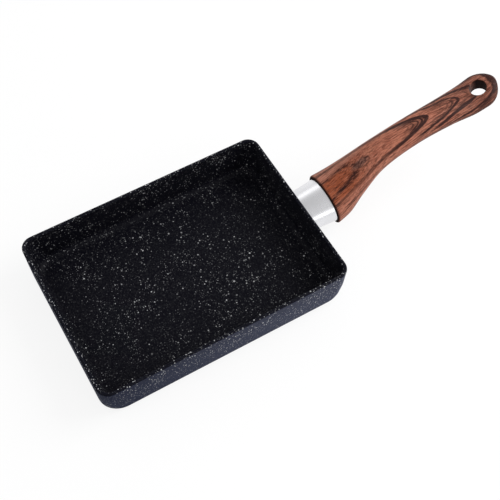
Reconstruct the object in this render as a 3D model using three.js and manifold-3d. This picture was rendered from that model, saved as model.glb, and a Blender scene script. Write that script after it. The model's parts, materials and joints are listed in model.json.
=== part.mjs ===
// A rectangular omelette pan: a coated aluminium tray, a metal ferrule and a moulded wood-look grip.
// Millimetres, +Z up. The origin is the centre of the base, on the surface that the pan stands on,
// and the handle runs out along +X.

import * as THREE from 'three';
import { mergeVertices } from 'three/addons/utils/BufferGeometryUtils.js';
import Module from 'manifold-3d';

const wasm = await Module();
wasm.setup();

// Tray
const RIM_LENGTH = 186;
const RIM_WIDTH = 134;
const PAN_HEIGHT = 33;
const PAN_WALL = 2.6;
const PAN_FLOOR = 3.2;
const WALL_DRAFT = 1.0; // how far each side of the base lies inside the rim
const RIM_CORNER_RADIUS = 9;
const BASE_CORNER_RADIUS = 17.5;
const BASE_EDGE_RADIUS = 5;
const FLOOR_EDGE_RADIUS = 5;

// Steel plate let into the base
const PLATE_LENGTH = 132;
const PLATE_WIDTH = 84;
const PLATE_CORNER_RADIUS = 12;
const PLATE_THICKNESS = 0.8;
const PLATE_HOLE_DIAMETER = 7;
const PLATE_HOLE_PITCH = 18;
const PLATE_HOLE_MARGIN = 10; // from the plate's edge to the nearest hole centres

// Handle axis
const HANDLE_HEIGHT = 17.2; // where the axis meets the outside of the wall
const HANDLE_TILT = THREE.MathUtils.degToRad(4);

// Ferrule, an oval sleeve that widens towards the grip
const FERRULE_LENGTH = 21.5;
const FERRULE_WALL = 1.2;
const FERRULE_ROOT_HALF_WIDTH = 16.6;
const FERRULE_ROOT_HALF_HEIGHT = 10.7;
const FERRULE_END_HALF_WIDTH = 18.5;
const FERRULE_END_HALF_HEIGHT = 12;

// Grip: stretches along the handle axis, each with the section that it ends in.
// A rise is measured from the handle axis to the middle of the section.
const COLLAR_LIP = 2.25; // how far the collar stands out past the ferrule
const SWELL_LENGTH = 12;
const SWELL_RISE = 3.6;
const SWELL_HALF_WIDTH = 18.4;
const SWELL_HALF_HEIGHT = 16.3;
const SHOULDER_LENGTH = 12;
const SHOULDER_RISE = 12.2;
const SHOULDER_HALF_WIDTH = 15;
const SHOULDER_HALF_HEIGHT = 14.5;
const NECK_LENGTH = 18;
const NECK_RISE = 23.8;
const NECK_HALF_WIDTH = 11.6;
const NECK_HALF_HEIGHT = 10.7;
const WAIST_LENGTH = 28;
const WAIST_RISE = 31;
const WAIST_HALF_WIDTH = 10.7;
const WAIST_HALF_HEIGHT = 8.4;
const PALM_LENGTH = 30;
const PALM_RISE = 33.4;
const PALM_HALF_WIDTH = 11.5;
const PALM_HALF_HEIGHT = 7.2;
const FLARE_LENGTH = 19;
const FLARE_RISE = 33.5;
const FLARE_HALF_WIDTH = 13.1;
const FLARE_HALF_HEIGHT = 7;
const TAIL_LENGTH = 11;
const TAIL_RISE = 35.8;
const TAIL_HALF_WIDTH = 13.5;
const TAIL_HALF_HEIGHT = 7.3;
const TAIL_ROUND_LENGTH = 14.2;
const SECTION_POWER = 2.15; // superellipse exponents: 2 is an ellipse, more is squarer
const TAIL_PLAN_POWER = 2;
const TAIL_SIDE_POWER = 5;
const COLLAR_EDGE_RADIUS = 0.9;
const SPIGOT_LENGTH = 6;
const HANG_HOLE_DIAMETER = 12.4; // centred on the tail's section
const HANG_HOLE_LEAD = 1.4; // radius of the rounded mouths

// Handle screw, which runs along the handle axis into the lug
const SCREW_DIAMETER = 5;
const SCREW_SEAT_ALONG = 9; // solid grip between the collar face and the screw seat
const SCREW_HEAD_DIAMETER = 9;
const SCREW_HEAD_HEIGHT = 3.4;
const SCREW_RECESS_WIDTH = 1.3;
const SCREW_RECESS_SPAN = 5;
const SCREW_RECESS_DEPTH = 1.8;
const SCREW_WASHER_DIAMETER = 10;
const SCREW_WASHER_THICKNESS = 1;
const SCREW_SPRING_DIAMETER = 8.8;
const SCREW_SPRING_THICKNESS = 1.3;
const COUNTERBORE_CLEARANCE = 0.5;
const SPRING_GAP_ANGLE = 0.3; // split of a spring washer, in radians

// Lug and its two weld studs, all hidden in the ferrule
const LUG_FLANGE = 3.2;
const LUG_CLEARANCE = 0.6;
const BOSS_WALL = 2.2;
const STUD_DIAMETER = 4;
const STUD_COLLAR_DIAMETER = 5.6;
const STUD_COLLAR_HEIGHT = 0.8;
const STUD_END = 1.2; // thread that stands past the nut
const NUT_ACROSS_FLATS = 7;
const NUT_HEIGHT = 3.2;
const NUT_TO_BOSS = 0.8;
const STUD_SPRING_DIAMETER = 7.4;
const STUD_SPRING_THICKNESS = 1;

const CLEARANCE = 0.3; // between pieces that touch or screw together
const LEAST_RADIUS = 0.5; // a rounded corner never goes sharp
const WELD_DISTANCE = 1e-4;

// How finely round shapes are divided
const CORNER_STEPS = 7;
const FILLET_STEPS = 4;
const LIP_STEPS = 6;
const OVAL_STEPS = 44;
const GRIP_STEP = 5;
const TAIL_STEPS = 7;
const ROUND_STEPS = 24;
const HOLE_STEPS = 12;

// Derived places
const LIP_RADIUS = PAN_WALL / 2;
const LIP_HEIGHT = PAN_HEIGHT - LIP_RADIUS; // where the walls are widest
const DRAFT_ANGLE = Math.atan(WALL_DRAFT / LIP_HEIGHT);
const LUG_ANGLE = HANDLE_TILT + DRAFT_ANGLE; // between the handle axis and the wall's own normal
const SCREW_BORE = SCREW_DIAMETER + 2 * CLEARANCE;
const STUD_BORE = STUD_DIAMETER + 2 * CLEARANCE;
const BOSS_RADIUS = SCREW_BORE / 2 + BOSS_WALL;
const STUD_OFFSET = BOSS_RADIUS + NUT_TO_BOSS + NUT_ACROSS_FLATS / 2;

// The grip's sections, each placed along the axis by the stretches before it
const GRIP_STATIONS = [
  [0, 0, FERRULE_END_HALF_WIDTH + COLLAR_LIP, FERRULE_END_HALF_HEIGHT + COLLAR_LIP],
  [SWELL_LENGTH, SWELL_RISE, SWELL_HALF_WIDTH, SWELL_HALF_HEIGHT],
  [SHOULDER_LENGTH, SHOULDER_RISE, SHOULDER_HALF_WIDTH, SHOULDER_HALF_HEIGHT],
  [NECK_LENGTH, NECK_RISE, NECK_HALF_WIDTH, NECK_HALF_HEIGHT],
  [WAIST_LENGTH, WAIST_RISE, WAIST_HALF_WIDTH, WAIST_HALF_HEIGHT],
  [PALM_LENGTH, PALM_RISE, PALM_HALF_WIDTH, PALM_HALF_HEIGHT],
  [FLARE_LENGTH, FLARE_RISE, FLARE_HALF_WIDTH, FLARE_HALF_HEIGHT],
  [TAIL_LENGTH, TAIL_RISE, TAIL_HALF_WIDTH, TAIL_HALF_HEIGHT],
].reduce((stations, [length, rise, halfWidth, halfHeight]) => {
  const along = length + (stations.at(-1)?.along ?? 0);
  return [...stations, { along, rise, halfWidth, halfHeight }];
}, []);
const LAST_STATION = GRIP_STATIONS.at(-1);
const HANG_HOLE_TILT = Math.atan2(LAST_STATION.rise, LAST_STATION.along); // square to the grip's chord

// The stack on each weld stud, measured out from the wall's face along its normal
const LUG_BACK = CLEARANCE;
const LUG_FRONT = LUG_BACK + LUG_FLANGE;
const STUD_SPRING_FROM = LUG_FRONT + CLEARANCE;
const NUT_FROM = STUD_SPRING_FROM + STUD_SPRING_THICKNESS + CLEARANCE;
const STUD_TIP = NUT_FROM + NUT_HEIGHT + STUD_END;

// The stack under the screw's head, measured along the handle axis from the collar's face
const WASHER_FROM = SCREW_SEAT_ALONG + CLEARANCE;
const SCREW_SPRING_FROM = WASHER_FROM + SCREW_WASHER_THICKNESS + CLEARANCE;
const HEAD_FROM = SCREW_SPRING_FROM + SCREW_SPRING_THICKNESS + CLEARANCE;

const { lerp } = THREE.MathUtils;

// Mesh building

// Joins rings of equal point counts. With end points the tube is capped by fans,
// and without them the last ring joins the first.
function loft(rings, startPoint, endPoint) {
  const count = rings[0].length;
  const positions = rings.flat().flatMap((point) => point.toArray());
  const index = [];
  const joins = startPoint ? rings.length - 1 : rings.length;
  for (let ring = 0; ring < joins; ring += 1) {
    const here = ring * count;
    const there = ((ring + 1) % rings.length) * count;
    for (let step = 0; step < count; step += 1) {
      const next = (step + 1) % count;
      index.push(here + step, here + next, there + next);
      index.push(here + step, there + next, there + step);
    }
  }
  if (startPoint) {
    const start = positions.push(...startPoint.toArray()) / 3 - 1;
    const end = positions.push(...endPoint.toArray()) / 3 - 1;
    const last = (rings.length - 1) * count;
    for (let step = 0; step < count; step += 1) {
      const next = (step + 1) % count;
      index.push(start, next, step);
      index.push(end, last + step, last + next);
    }
  }
  const geometry = new THREE.BufferGeometry();
  geometry.setAttribute('position', new THREE.Float32BufferAttribute(positions, 3));
  geometry.setIndex(index);
  return geometry;
}

function toSolid(geometry) {
  const bare = new THREE.BufferGeometry();
  bare.setAttribute('position', geometry.getAttribute('position').clone());
  if (geometry.index) bare.setIndex(geometry.index.clone());
  const merged = mergeVertices(bare, WELD_DISTANCE);
  const corners = [];
  for (let at = 0; at < merged.index.count; at += 3) {
    const [a, b, c] = merged.index.array.slice(at, at + 3);
    if (a !== b && b !== c && c !== a) corners.push(a, b, c);
  }
  return new wasm.Manifold(new wasm.Mesh({
    numProp: 3,
    vertProperties: merged.getAttribute('position').array,
    triVerts: new Uint32Array(corners),
  }));
}

function toGeometry(solid) {
  const mesh = solid.getMesh();
  const geometry = new THREE.BufferGeometry();
  geometry.setAttribute('position', new THREE.BufferAttribute(mesh.vertProperties, 3));
  geometry.setIndex(new THREE.BufferAttribute(mesh.triVerts, 1));
  geometry.computeVertexNormals();
  return geometry;
}

// A solid cylinder along +X between two places
function barAlongX(radius, from, to) {
  const bar = new THREE.CylinderGeometry(radius, radius, to - from, ROUND_STEPS);
  bar.rotateZ(-Math.PI / 2);
  bar.translate((from + to) / 2, 0, 0);
  return bar;
}

// A turned piece about +X, from a profile of [radius, place] pairs
function turnedAlongX(profile) {
  const points = profile.map(([radius, place]) => new THREE.Vector2(radius, place));
  const turned = new THREE.LatheGeometry(points, ROUND_STEPS);
  turned.rotateZ(-Math.PI / 2);
  return toGeometry(toSolid(turned));
}

// A flat piece cut from a shape and laid square to +X, starting at a place
function sheetAlongX(shape, thickness, from, steps = ROUND_STEPS) {
  const settings = { depth: thickness, bevelEnabled: false, curveSegments: steps / 2 };
  const sheet = new THREE.ExtrudeGeometry(shape, settings);
  sheet.rotateY(Math.PI / 2);
  sheet.translate(from, 0, 0);
  return sheet;
}

function circularHole(x, y, radius) {
  const hole = new THREE.Path();
  hole.absarc(x, y, radius, 0, 2 * Math.PI, true);
  return hole;
}

function springWasher(outerDiameter, bore, thickness, from) {
  const start = SPRING_GAP_ANGLE / 2;
  const end = 2 * Math.PI - start;
  const split = new THREE.Shape();
  split.absarc(0, 0, outerDiameter / 2, start, end, false);
  split.absarc(0, 0, bore / 2, end, start, true);
  return sheetAlongX(split, thickness, from);
}

// Tray

// The ring round the tray at a height, moved in from the outer face by an offset
function trayRing(offset, height) {
  const up = height / LIP_HEIGHT;
  const inset = WALL_DRAFT * (1 - up) + offset;
  const corner = lerp(BASE_CORNER_RADIUS, RIM_CORNER_RADIUS, up) - offset;
  return roundedRing(RIM_LENGTH / 2 - inset, RIM_WIDTH / 2 - inset, corner, height);
}

function roundedRing(halfLength, halfWidth, corner, height) {
  const radius = Math.max(corner, LEAST_RADIUS);
  const ring = [];
  for (let quarter = 0; quarter < 4; quarter += 1) {
    const sideX = quarter === 0 || quarter === 3 ? 1 : -1;
    const sideY = quarter < 2 ? 1 : -1;
    for (let step = 0; step <= CORNER_STEPS; step += 1) {
      const angle = (quarter + step / CORNER_STEPS) * Math.PI / 2;
      const x = sideX * (halfLength - radius) + radius * Math.cos(angle);
      const y = sideY * (halfWidth - radius) + radius * Math.sin(angle);
      ring.push(new THREE.Vector3(x, y, height));
    }
  }
  return ring;
}

// Evenly spaced angles from 0 to a sweep
function sweepAngles(sweep, steps) {
  return Array.from({ length: steps + 1 }, (_, step) => sweep * step / steps);
}

function panBody() {
  const recess = PLATE_THICKNESS + CLEARANCE;
  const recessOutline = [PLATE_LENGTH / 2 + CLEARANCE, PLATE_WIDTH / 2 + CLEARANCE, PLATE_CORNER_RADIUS];
  const rings = [roundedRing(...recessOutline, recess), roundedRing(...recessOutline, 0)];
  for (const angle of sweepAngles(Math.PI / 2, FILLET_STEPS)) {
    const offset = BASE_EDGE_RADIUS * (1 - Math.sin(angle));
    rings.push(trayRing(offset, BASE_EDGE_RADIUS * (1 - Math.cos(angle))));
  }
  for (const angle of sweepAngles(Math.PI, LIP_STEPS)) {
    rings.push(trayRing(LIP_RADIUS * (1 - Math.cos(angle)), LIP_HEIGHT + LIP_RADIUS * Math.sin(angle)));
  }
  for (const angle of sweepAngles(Math.PI / 2, FILLET_STEPS)) {
    const offset = PAN_WALL + FLOOR_EDGE_RADIUS * (1 - Math.cos(angle));
    rings.push(trayRing(offset, PAN_FLOOR + FLOOR_EDGE_RADIUS * (1 - Math.sin(angle))));
  }
  return loft(rings, new THREE.Vector3(0, 0, recess), new THREE.Vector3(0, 0, PAN_FLOOR));
}

// Hole centres on both sides of a centre line, so that none falls on it
function holePlaces(length) {
  const places = [];
  for (let at = PLATE_HOLE_PITCH / 2; at <= length / 2 - PLATE_HOLE_MARGIN; at += PLATE_HOLE_PITCH) {
    places.push(-at, at);
  }
  return places;
}

function basePlate() {
  const outline = roundedRing(PLATE_LENGTH / 2, PLATE_WIDTH / 2, PLATE_CORNER_RADIUS, 0);
  const shape = new THREE.Shape(outline.map((point) => new THREE.Vector2(point.x, point.y)));
  for (const x of holePlaces(PLATE_LENGTH)) {
    for (const y of holePlaces(PLATE_WIDTH)) {
      shape.holes.push(circularHole(x, y, PLATE_HOLE_DIAMETER / 2));
    }
  }
  const settings = { depth: PLATE_THICKNESS, bevelEnabled: false, curveSegments: HOLE_STEPS / 2 };
  return new THREE.ExtrudeGeometry(shape, settings);
}

// Wall joint: places are measured out from the wall's face, along its normal

function weldStud() {
  const radius = STUD_DIAMETER / 2;
  const collarTop = CLEARANCE + STUD_COLLAR_HEIGHT;
  return turnedAlongX([
    [0, CLEARANCE],
    [STUD_COLLAR_DIAMETER / 2, CLEARANCE],
    [STUD_COLLAR_DIAMETER / 2, collarTop],
    [radius, collarTop],
    [radius, STUD_TIP],
    [0, STUD_TIP],
  ]);
}

function studNut() {
  const corner = NUT_ACROSS_FLATS / Math.sqrt(3);
  const hexagon = Array.from({ length: 6 }, (_, side) => {
    const angle = side * Math.PI / 3;
    return new THREE.Vector2(corner * Math.cos(angle), corner * Math.sin(angle));
  });
  const shape = new THREE.Shape(hexagon);
  shape.holes.push(circularHole(0, 0, STUD_BORE / 2));
  return sheetAlongX(shape, NUT_HEIGHT, NUT_FROM);
}

function studSpringWasher() {
  return springWasher(STUD_SPRING_DIAMETER, STUD_BORE, STUD_SPRING_THICKNESS, STUD_SPRING_FROM);
}

// The lug's flange lies on the wall, and its boss leans up to the handle axis.
function handleLug() {
  const inside = FERRULE_WALL + LUG_CLEARANCE;
  const halfWidth = FERRULE_ROOT_HALF_WIDTH - inside;
  const halfHeight = FERRULE_ROOT_HALF_HEIGHT - inside;
  const flangeShape = new THREE.Shape();
  flangeShape.absellipse(0, 0, halfHeight, halfWidth, 0, 2 * Math.PI);
  const flange = toSolid(sheetAlongX(flangeShape, LUG_FLANGE, LUG_BACK, OVAL_STEPS));

  const bossEnd = FERRULE_LENGTH - SPIGOT_LENGTH - CLEARANCE;
  const boss = barAlongX(BOSS_RADIUS, LUG_FRONT - LUG_FLANGE / 2, bossEnd);
  const bore = barAlongX(SCREW_BORE / 2, -LUG_FLANGE, FERRULE_LENGTH);
  boss.rotateY(-LUG_ANGLE);
  bore.rotateY(-LUG_ANGLE);
  let lug = flange.add(toSolid(boss)).subtract(toSolid(bore));

  for (const side of [-1, 1]) {
    const hole = barAlongX(STUD_BORE / 2, -LUG_FLANGE, 2 * LUG_FLANGE);
    const collarTop = CLEARANCE + STUD_COLLAR_HEIGHT + CLEARANCE;
    const relief = barAlongX(STUD_COLLAR_DIAMETER / 2 + CLEARANCE, -LUG_FLANGE, collarTop);
    hole.translate(0, side * STUD_OFFSET, 0);
    relief.translate(0, side * STUD_OFFSET, 0);
    lug = lug.subtract(toSolid(hole)).subtract(toSolid(relief));
  }
  return toGeometry(lug);
}

// Handle: places are measured along the handle axis from the collar's face, towards the tail

// Half sizes of the ferrule's outside at a place along the axis
function ferruleHalfSizes(along) {
  const share = along / FERRULE_LENGTH + 1;
  return {
    width: lerp(FERRULE_ROOT_HALF_WIDTH, FERRULE_END_HALF_WIDTH, share),
    height: lerp(FERRULE_ROOT_HALF_HEIGHT, FERRULE_END_HALF_HEIGHT, share),
  };
}

// Points of a superellipse round the axis at a place, raised by a rise
function ovalRing(along, rise, halfWidth, halfHeight, power) {
  const round = (value) => Math.sign(value) * Math.abs(value) ** (2 / power);
  return Array.from({ length: OVAL_STEPS }, (_, step) => {
    const angle = 2 * Math.PI * step / OVAL_STEPS;
    const across = halfWidth * round(Math.cos(angle));
    return new THREE.Vector3(along, across, rise + halfHeight * round(Math.sin(angle)));
  });
}

function ferruleRing(along, inset) {
  const half = ferruleHalfSizes(along);
  return ovalRing(along, 0, half.width - inset, half.height - inset, 2);
}

// The ferrule's root follows the slope of the wall.
function ferrule() {
  const toWall = (point) => {
    const fromAxis = (CLEARANCE + point.z * Math.sin(LUG_ANGLE)) / Math.cos(LUG_ANGLE);
    return new THREE.Vector3(fromAxis - FERRULE_LENGTH, point.y, point.z);
  };
  return loft([
    ferruleRing(-FERRULE_LENGTH, 0).map(toWall),
    ferruleRing(-CLEARANCE, 0),
    ferruleRing(-CLEARANCE, FERRULE_WALL),
    ferruleRing(-FERRULE_LENGTH, FERRULE_WALL).map(toWall),
  ]);
}

// How fast one measure of the grip changes at a station
function stationSlope(at, measure) {
  const before = GRIP_STATIONS[Math.max(at - 1, 0)];
  const after = GRIP_STATIONS[Math.min(at + 1, GRIP_STATIONS.length - 1)];
  return (after[measure] - before[measure]) / (after.along - before.along);
}

// A smooth curve through one measure of the grip's stations
function stationValue(along, measure) {
  let at = 0;
  while (at < GRIP_STATIONS.length - 2 && along > GRIP_STATIONS[at + 1].along) at += 1;
  const from = GRIP_STATIONS[at];
  const to = GRIP_STATIONS[at + 1];
  const span = to.along - from.along;
  const t = (along - from.along) / span;
  const ease = t * t * (3 - 2 * t);
  const leave = t * (1 - t) * (1 - t) * span * stationSlope(at, measure);
  const arrive = t * t * (1 - t) * span * stationSlope(at + 1, measure);
  return lerp(from[measure], to[measure], ease) + leave - arrive;
}

function gripRing(along, inset = 0) {
  const halfWidth = stationValue(along, 'halfWidth') - inset;
  const halfHeight = stationValue(along, 'halfHeight') - inset;
  return ovalRing(along, stationValue(along, 'rise'), halfWidth, halfHeight, SECTION_POWER);
}

// The middle of the tail, which goes on rising as it did at the last station
function tailPlace(share) {
  const past = share * TAIL_ROUND_LENGTH;
  const rise = LAST_STATION.rise + past * stationSlope(GRIP_STATIONS.length - 1, 'rise');
  return { along: LAST_STATION.along + past, rise };
}

// Rings of the round tail, drawn in towards its tip
function tailRing(share) {
  const { along, rise } = tailPlace(share);
  const width = LAST_STATION.halfWidth * (1 - share ** TAIL_PLAN_POWER) ** (1 / TAIL_PLAN_POWER);
  const height = LAST_STATION.halfHeight * (1 - share ** TAIL_SIDE_POWER) ** (1 / TAIL_SIDE_POWER);
  return ovalRing(along, rise, width, height, SECTION_POWER);
}

function gripBlank() {
  const inside = FERRULE_WALL + CLEARANCE;
  const rings = [ferruleRing(-SPIGOT_LENGTH, inside), ferruleRing(0, inside)];
  for (const angle of sweepAngles(Math.PI / 2, FILLET_STEPS)) {
    const along = COLLAR_EDGE_RADIUS * (1 - Math.cos(angle));
    rings.push(gripRing(along, COLLAR_EDGE_RADIUS * (1 - Math.sin(angle))));
  }
  const steps = Math.ceil((LAST_STATION.along - COLLAR_EDGE_RADIUS) / GRIP_STEP);
  for (let step = 1; step <= steps; step += 1) {
    rings.push(gripRing(lerp(COLLAR_EDGE_RADIUS, LAST_STATION.along, step / steps)));
  }
  for (let step = 1; step < TAIL_STEPS; step += 1) {
    rings.push(tailRing(Math.sin(step / TAIL_STEPS * Math.PI / 2)));
  }
  const tip = tailPlace(1);
  return loft(rings, new THREE.Vector3(-SPIGOT_LENGTH, 0, 0), new THREE.Vector3(tip.along, 0, tip.rise));
}

// The hole's mouths are rounded where they meet the top and the underside of the tail.
function hangHoleCutter() {
  const radius = HANG_HOLE_DIAMETER / 2;
  const mouth = LAST_STATION.halfHeight;
  const past = 2 * mouth;
  const upper = sweepAngles(Math.PI / 2, FILLET_STEPS).map((angle) => [
    radius + HANG_HOLE_LEAD * (1 - Math.cos(angle)),
    mouth - HANG_HOLE_LEAD * (1 - Math.sin(angle)),
  ]);
  upper.push([radius + HANG_HOLE_LEAD, past], [0, past]);
  const lower = upper.map(([width, place]) => [width, -place]).reverse();
  const points = [...lower, ...upper].map(([width, place]) => new THREE.Vector2(width, place));
  const cutter = new THREE.LatheGeometry(points, ROUND_STEPS);
  cutter.rotateX(Math.PI / 2);
  cutter.rotateY(-HANG_HOLE_TILT);
  cutter.translate(LAST_STATION.along, 0, LAST_STATION.rise);
  return cutter;
}

function handleGrip() {
  const counterbore = SCREW_WASHER_DIAMETER / 2 + COUNTERBORE_CLEARANCE;
  const bore = barAlongX(SCREW_BORE / 2, -2 * SPIGOT_LENGTH, 2 * SCREW_SEAT_ALONG);
  const access = barAlongX(counterbore, SCREW_SEAT_ALONG, LAST_STATION.along);
  return toGeometry(toSolid(gripBlank())
    .subtract(toSolid(bore))
    .subtract(toSolid(access))
    .subtract(toSolid(hangHoleCutter())));
}

function screwWasher() {
  const shape = new THREE.Shape();
  shape.absarc(0, 0, SCREW_WASHER_DIAMETER / 2, 0, 2 * Math.PI, false);
  shape.holes.push(circularHole(0, 0, SCREW_BORE / 2));
  return sheetAlongX(shape, SCREW_WASHER_THICKNESS, WASHER_FROM);
}

function screwSpringWasher() {
  return springWasher(SCREW_SPRING_DIAMETER, SCREW_BORE, SCREW_SPRING_THICKNESS, SCREW_SPRING_FROM);
}

// Pan-head screw with a cross recess, its tip level with the lug's flange
function handleScrew() {
  const radius = SCREW_DIAMETER / 2;
  const head = SCREW_HEAD_DIAMETER / 2;
  const tip = LUG_FRONT - FERRULE_LENGTH;
  const top = HEAD_FROM + SCREW_HEAD_HEIGHT;
  const dome = SCREW_HEAD_HEIGHT / 2;
  const profile = [[0, tip], [radius, tip], [radius, HEAD_FROM], [head, HEAD_FROM]];
  for (const angle of sweepAngles(Math.PI / 2, FILLET_STEPS)) {
    profile.push([head - dome * (1 - Math.cos(angle)), top - dome * (1 - Math.sin(angle))]);
  }
  profile.push([0, top]);
  let screw = toSolid(turnedAlongX(profile));
  for (const turn of [0, Math.PI / 2]) {
    const slot = new THREE.BoxGeometry(2 * SCREW_RECESS_DEPTH, SCREW_RECESS_WIDTH, SCREW_RECESS_SPAN);
    slot.rotateX(turn);
    slot.translate(top, 0, 0);
    screw = screw.subtract(toSolid(slot));
  }
  return toGeometry(screw);
}

// Assembly

function piece(name, geometry, color, roughness, metalness) {
  const material = new THREE.MeshStandardMaterial({ color, roughness, metalness });
  const mesh = new THREE.Mesh(geometry, material);
  mesh.name = name;
  return mesh;
}

const pan = new THREE.Group();
pan.add(piece('pan_body', panBody(), 0x26272e, 0.5, 0.1));
pan.add(piece('induction_base_plate', basePlate(), 0xa7a8aa, 0.35, 1));

const wallFace = RIM_LENGTH / 2 - WALL_DRAFT * (1 - HANDLE_HEIGHT / LIP_HEIGHT);
const wallJoint = new THREE.Group();
wallJoint.position.set(wallFace, 0, HANDLE_HEIGHT);
wallJoint.rotation.y = DRAFT_ANGLE;
wallJoint.add(piece('handle_lug', handleLug(), 0x9fa2a6, 0.5, 1));
for (const [hand, side] of [['left', 1], ['right', -1]]) {
  const fixing = new THREE.Group();
  fixing.position.y = side * STUD_OFFSET;
  fixing.add(piece(`weld_stud_${hand}`, weldStud(), 0xb4b6b8, 0.4, 1));
  fixing.add(piece(`stud_spring_washer_${hand}`, studSpringWasher(), 0x8c8e90, 0.4, 1));
  fixing.add(piece(`stud_nut_${hand}`, studNut(), 0xb0b2b4, 0.4, 1));
  wallJoint.add(fixing);
}
pan.add(wallJoint);

const handle = new THREE.Group();
handle.position.set(
  wallFace + FERRULE_LENGTH * Math.cos(HANDLE_TILT),
  0,
  HANDLE_HEIGHT + FERRULE_LENGTH * Math.sin(HANDLE_TILT),
);
handle.rotation.y = -HANDLE_TILT;
handle.add(piece('ferrule', ferrule(), 0xc8c9cc, 0.3, 1));
handle.add(piece('handle_grip', handleGrip(), 0x7b4a39, 0.45, 0));
handle.add(piece('handle_screw', handleScrew(), 0xb4b6b8, 0.35, 1));
handle.add(piece('screw_washer', screwWasher(), 0xb0b2b4, 0.4, 1));
handle.add(piece('screw_spring_washer', screwSpringWasher(), 0x8c8e90, 0.4, 1));
pan.add(handle);

export default pan;
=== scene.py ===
"""Dresses a rectangular omelette pan: a speckled tray, a satin ferrule and a wood-look grip."""

import json
import math
from collections import namedtuple

import bmesh
import bpy
from bpy.props import FloatProperty, FloatVectorProperty, PointerProperty
from mathutils import Matrix, Vector

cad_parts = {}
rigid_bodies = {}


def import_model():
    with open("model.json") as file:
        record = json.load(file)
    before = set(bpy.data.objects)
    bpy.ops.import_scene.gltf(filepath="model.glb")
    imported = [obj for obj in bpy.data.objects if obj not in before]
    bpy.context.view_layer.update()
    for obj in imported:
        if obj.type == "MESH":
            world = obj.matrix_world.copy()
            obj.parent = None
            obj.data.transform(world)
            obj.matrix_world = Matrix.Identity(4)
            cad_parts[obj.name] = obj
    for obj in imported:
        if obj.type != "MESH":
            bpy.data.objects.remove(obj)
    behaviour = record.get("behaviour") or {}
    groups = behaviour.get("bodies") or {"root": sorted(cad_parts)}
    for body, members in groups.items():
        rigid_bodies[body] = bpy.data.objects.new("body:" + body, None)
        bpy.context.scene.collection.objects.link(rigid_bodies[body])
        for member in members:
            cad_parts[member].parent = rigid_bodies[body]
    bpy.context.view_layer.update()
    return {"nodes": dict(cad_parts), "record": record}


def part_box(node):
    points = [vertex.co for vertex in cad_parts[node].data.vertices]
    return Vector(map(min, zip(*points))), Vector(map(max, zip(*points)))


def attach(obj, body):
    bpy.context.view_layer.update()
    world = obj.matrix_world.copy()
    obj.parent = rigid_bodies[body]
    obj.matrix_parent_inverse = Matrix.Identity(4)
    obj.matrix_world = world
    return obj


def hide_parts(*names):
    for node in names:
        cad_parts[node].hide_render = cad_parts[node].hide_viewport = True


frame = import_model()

bl_info = {
    "name": "Omelette Pan",
    "version": (1, 0, 0),
    "blender": (4, 5, 0),
    "location": "View3D > Sidebar > Omelette Pan",
    "description": "Models and finishes the pieces of a rectangular omelette pan",
    "category": "Object",
}

BODY = "root"
MM = 0.001
TRAY_LOW, TRAY_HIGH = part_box("pan_body")
PLATE_LOW, PLATE_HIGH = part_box("induction_base_plate")

# How finely round shapes are divided
CORNER_STEPS = 20
FILLET_STEPS = 8
OVAL_STEPS = 128
GRIP_CORNER_STEPS = 18
GRIP_RING_STEP = 1.5 * MM
TAIL_STEPS = 22
HOLE_STEPS = 40
PLATE_EDGE_STEPS = 2
WELD = 0.002 * MM  # points nearer than this are merged
FACE_X = (0, math.pi / 2, 0)  # turns a primitive that faces up to face along X


# Properties

def number(name, description, default, **settings):
    return FloatProperty(name=name, description=description, default=default, **settings)


def vector(name, description, default, **settings):
    return FloatVectorProperty(
        name=name, description=description, default=default, size=len(default), **settings
    )


def size(name, description, default):
    """A length in metres."""
    return number(name, description, default, min=0, precision=5, unit="LENGTH", subtype="DISTANCE")


def angle(name, description, degrees):
    """An angle, with its default in degrees."""
    return number(name, description, math.radians(degrees), unit="ROTATION", subtype="ANGLE")


def power(name, description, watts):
    """The power of a light."""
    return number(name, description, watts, min=0, unit="POWER")


def brightness(name, description, default):
    """A brightness, where 1 is white."""
    return number(name, description, default, min=0, max=1, subtype="FACTOR")


def position(name, description, *default):
    """A place in metres."""
    return vector(name, description, default, precision=4, unit="LENGTH", subtype="XYZ")


def section(name, description, *sizes):
    """Half width and half height in millimetres, after the place along the handle and the rise if given."""
    return vector(name, description, [value * MM for value in sizes], precision=5, unit="LENGTH")


def colour(name, description, *channels):
    """A colour, with its default as display values from 0 to 255."""
    def linear(value):
        share = value / 255
        return share / 12.92 if share <= 0.04045 else ((share + 0.055) / 1.055) ** 2.4

    return vector(name, description, [linear(value) for value in channels], min=0, max=1, subtype="COLOR")


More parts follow.
